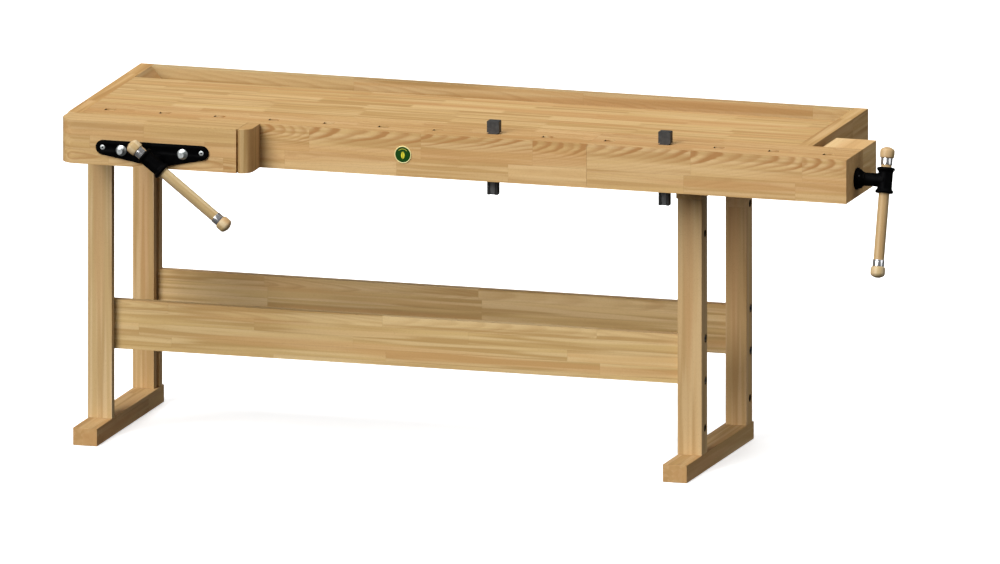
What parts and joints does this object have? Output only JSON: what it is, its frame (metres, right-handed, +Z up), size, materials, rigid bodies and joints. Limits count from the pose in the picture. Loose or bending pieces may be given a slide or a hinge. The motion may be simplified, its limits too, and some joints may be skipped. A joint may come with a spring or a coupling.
{
  "type": "joiner's workbench with vises",
  "caption": "Beech joiner's workbench on a sledge-footed trestle, with a front jaw vise, a sliding tail vise, a row of dog holes, bench dogs and a tool tray.",
  "frame": {"origin": "on the floor, under the middle of the overall box", "axes": "+X along the bench towards the tail vise, +Y from the front vise to the back, +Z up"},
  "size_m": [2.133, 0.773, 0.8938],
  "materials": {
    "beech": "oiled, satin, laminated from strips with finger joints",
    "bar_beech": "turned and oiled, satin",
    "black_cast": "satin black paint on castings",
    "zinc_steel": "zinc plated",
    "bright_steel": "bright",
    "dark_steel": "dark grey, satin",
    "badge_enamel": "green with a cream rim"
  },
  "bodies": {
    "bench": {"back_board": "beech", "badge": "badge_enamel", "batten_left": "beech", "batten_right": "beech", "bearer_left": "beech", "bearer_right": "beech", "bench_slab": "beech", "dog_hole_plank": "beech", "end_cap_left": "beech", "end_cap_right": "beech", "foot_left": "beech", "foot_right": "beech", "front_vise_nut": "black_cast", "leg_front_left": "beech", "leg_front_right": "beech", "leg_rear_left": "beech", "leg_rear_right": "beech", "stretcher_bolt_front_left_lower": "zinc_steel", "stretcher_bolt_front_left_upper": "zinc_steel", "stretcher_bolt_front_right_lower": "zinc_steel", "stretcher_bolt_front_right_upper": "zinc_steel", "stretcher_bolt_rear_left_lower": "zinc_steel", "stretcher_bolt_rear_left_upper": "zinc_steel", "stretcher_bolt_rear_right_lower": "zinc_steel", "stretcher_bolt_rear_right_upper": "zinc_steel", "stretcher_front": "beech", "stretcher_rear": "beech", "tail_vise_nut": "black_cast", "tray_bottom": "beech", "tray_ramp_left": "beech", "tray_ramp_right": "beech"},
    "front_jaw": {"front_jaw": "beech", "front_jaw_end": "beech", "front_vise_plate": "black_cast", "front_plate_screw_left": "zinc_steel", "front_plate_screw_right": "zinc_steel", "front_guide_bar_left": "zinc_steel", "front_guide_bar_right": "zinc_steel"},
    "front_screw": {"front_screw": "zinc_steel", "front_screw_head": "black_cast"},
    "front_bar": {"front_bar": "bar_beech", "front_ferrule_upper": "bright_steel", "front_ferrule_lower": "bright_steel", "front_knob_upper": "bar_beech", "front_knob_lower": "bar_beech"},
    "tail_jaw": {"tail_arm": "beech", "tail_block": "beech", "tail_runner": "beech", "tail_flange": "black_cast"},
    "tail_screw": {"tail_screw": "zinc_steel", "tail_screw_head": "black_cast"},
    "tail_bar": {"tail_bar": "bar_beech", "tail_ferrule_upper": "bright_steel", "tail_ferrule_lower": "bright_steel", "tail_knob_upper": "bar_beech", "tail_knob_lower": "bar_beech"},
    "dog_left": {"dog_left": "dark_steel", "dog_spring_left": "dark_steel"},
    "dog_right": {"dog_right": "dark_steel", "dog_spring_right": "dark_steel"}
  },
  "joints": [
    {"name": "front_jaw_slide", "type": "slide", "parent": "bench", "child": "front_jaw", "axis": [0, -1, 0], "range_m": [0, 0.15]},
    {"name": "front_screw_turn", "type": "hinge", "parent": "front_jaw", "child": "front_screw", "pos_m": [-0.8049, -0.3635, 0.7693], "axis": [0, -1, 0], "range_deg": [0, 9010]},
    {"name": "front_bar_slide", "type": "slide", "parent": "front_screw", "child": "front_bar", "axis": [-0.7891, 0, 0.6143], "range_m": [0, 0.1725]},
    {"name": "tail_jaw_slide", "type": "slide", "parent": "bench", "child": "tail_jaw", "axis": [1, 0, 0], "range_m": [0, 0.14]},
    {"name": "tail_screw_turn", "type": "hinge", "parent": "tail_jaw", "child": "tail_screw", "pos_m": [1.0435, -0.1485, 0.796], "axis": [1, 0, 0], "range_deg": [0, 8410]},
    {"name": "tail_bar_slide", "type": "slide", "parent": "tail_screw", "child": "tail_bar", "axis": [0, 0.274, 0.9617], "range_m": [-0.006, 0.1665]},
    {"name": "dog_left_slide", "type": "slide", "parent": "bench", "child": "dog_left", "axis": [0, 0, 1], "range_m": [0, 0.09]},
    {"name": "dog_right_slide", "type": "slide", "parent": "tail_jaw", "child": "dog_right", "axis": [0, 0, 1], "range_m": [0, 0.09]}
  ],
  "couplings": [
    {"joint": "front_screw_turn", "follows": "front_jaw_slide", "rad_per_m": 1047.2},
    {"joint": "tail_screw_turn", "follows": "tail_jaw_slide", "rad_per_m": 1047.2}
  ]
}
